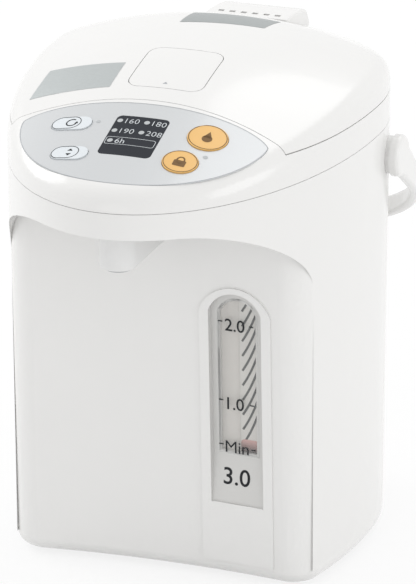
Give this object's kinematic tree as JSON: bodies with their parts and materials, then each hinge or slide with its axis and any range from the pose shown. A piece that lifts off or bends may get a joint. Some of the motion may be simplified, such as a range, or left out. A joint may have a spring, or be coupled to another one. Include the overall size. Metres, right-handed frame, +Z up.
{
  "type": "electric thermo pot",
  "caption": "Tall oval hot-water pot with a sloping control panel, a pump spout under the nose, an arched water gauge, a hinged lever lid and a rear carrying handle.",
  "frame": {"origin": "centre of the bounding box's footprint, on the table under the feet", "axes": "+Z up, -Y the spout's side, +X the side with the dispense button"},
  "size_m": [0.2092, 0.291, 0.2886],
  "materials": {
    "white_shell": "gloss",
    "face_grey": "satin",
    "film": "satin metallic print",
    "display": "gloss",
    "button_silver": "satin",
    "button_amber": "satin",
    "black_plastic": "matte",
    "grey_plastic": "matte",
    "steel": "brushed",
    "clear": "clear",
    "silicone": "matte",
    "foot_rubber": "matte",
    "wrap": "felt",
    "board": "matte",
    "brass": "polished",
    "backing": "matte"
  },
  "bodies": {
    "body": {"outer_case": "white_shell", "shoulder": "white_shell", "tank": "steel", "tank_gasket": "silicone", "heat_wrap": "wrap", "band_heater": "steel", "thermostat": "black_plastic", "pump_base": "grey_plastic", "pump_housing": "grey_plastic", "motor": "steel", "suction_pipe": "silicone", "delivery_hose": "silicone", "gauge_tube": "clear", "outlet_pipe": "grey_plastic", "spout_cowl": "face_grey", "spout_nozzle": "grey_plastic", "gauge_bezel": "white_shell", "gauge_window": "clear", "gauge_backing": "backing", "control_film": "film", "display_window": "display", "control_board": "board", "power_board": "board", "inlet_socket": "black_plastic", "inlet_pins": "brass", "base_plate": "black_plastic", "rubber_feet": "foot_rubber", "base_screws": "steel", "hinge_pin": "steel", "handle_studs": "steel"},
    "lid": {"lid_cover": "white_shell", "lid_base": "grey_plastic", "lid_gasket": "silicone", "inner_lid_plate": "steel", "steam_vent": "white_shell", "steam_cap": "grey_plastic", "lever_pin": "steel", "latch_spring": "steel"},
    "lever": {"lid_lever": "white_shell"},
    "latch": {"latch_bolt": "grey_plastic"},
    "handle": {"handle_bail": "white_shell"},
    "dispense_key": {"dispense_button": "button_amber"},
    "lock_key": {"lock_button": "button_amber"},
    "reboil_key": {"reboil_button": "button_silver"},
    "select_key": {"select_button": "button_silver"},
    "rotor": {"motor_rotor": "black_plastic"},
    "impeller_body": {"impeller": "grey_plastic"}
  },
  "joints": [
    {"name": "lid_hinge", "type": "hinge", "parent": "body", "child": "lid", "pos_m": [0, 0.119, 0.2623], "axis": [-1, 0, 0], "range_deg": [0, 80]},
    {"name": "lever_tilt", "type": "hinge", "parent": "lid", "child": "lever", "pos_m": [0, -0.011, 0.279], "axis": [1, 0, 0], "range_deg": [0, 6], "stiffness_Nm_per_rad": 0.6, "springref_deg": -1.72},
    {"name": "latch_slide", "type": "slide", "parent": "lid", "child": "latch", "axis": [0, 1, 0], "range_m": [0, 0.0019], "deforming": ["latch_spring"]},
    {"name": "handle_swing", "type": "hinge", "parent": "body", "child": "handle", "pos_m": [0, 0.047, 0.22], "axis": [1, 0, 0], "range_deg": [0, 128]},
    {"name": "motor_spin", "type": "hinge", "parent": "body", "child": "rotor", "pos_m": [0.004, -0.024, 0.03], "axis": [0, 0, 1], "continuous": true},
    {"name": "impeller_spin", "type": "hinge", "parent": "body", "child": "impeller_body", "pos_m": [0.004, -0.024, 0.04], "axis": [0, 0, 1], "continuous": true},
    {"name": "dispense_press", "type": "slide", "parent": "body", "child": "dispense_key", "axis": [0, 0.2874, -0.9578], "range_m": [0, 0.0008], "stiffness_N_per_m": 800, "springref_m": -0.0003},
    {"name": "lock_press", "type": "slide", "parent": "body", "child": "lock_key", "axis": [0, 0.2874, -0.9578], "range_m": [0, 0.0008], "stiffness_N_per_m": 800, "springref_m": -0.0003},
    {"name": "reboil_press", "type": "slide", "parent": "body", "child": "reboil_key", "axis": [0, 0.2874, -0.9578], "range_m": [0, 0.0008], "stiffness_N_per_m": 800, "springref_m": -0.0003},
    {"name": "select_press", "type": "slide", "parent": "body", "child": "select_key", "axis": [0, 0.2874, -0.9578], "range_m": [0, 0.0008], "stiffness_N_per_m": 800, "springref_m": -0.0003}
  ],
  "couplings": [
    {"joint": "latch_slide", "follows": "lever_tilt", "m_per_rad": 0.018144},
    {"joint": "impeller_spin", "follows": "motor_spin", "ratio": 1}
  ]
}
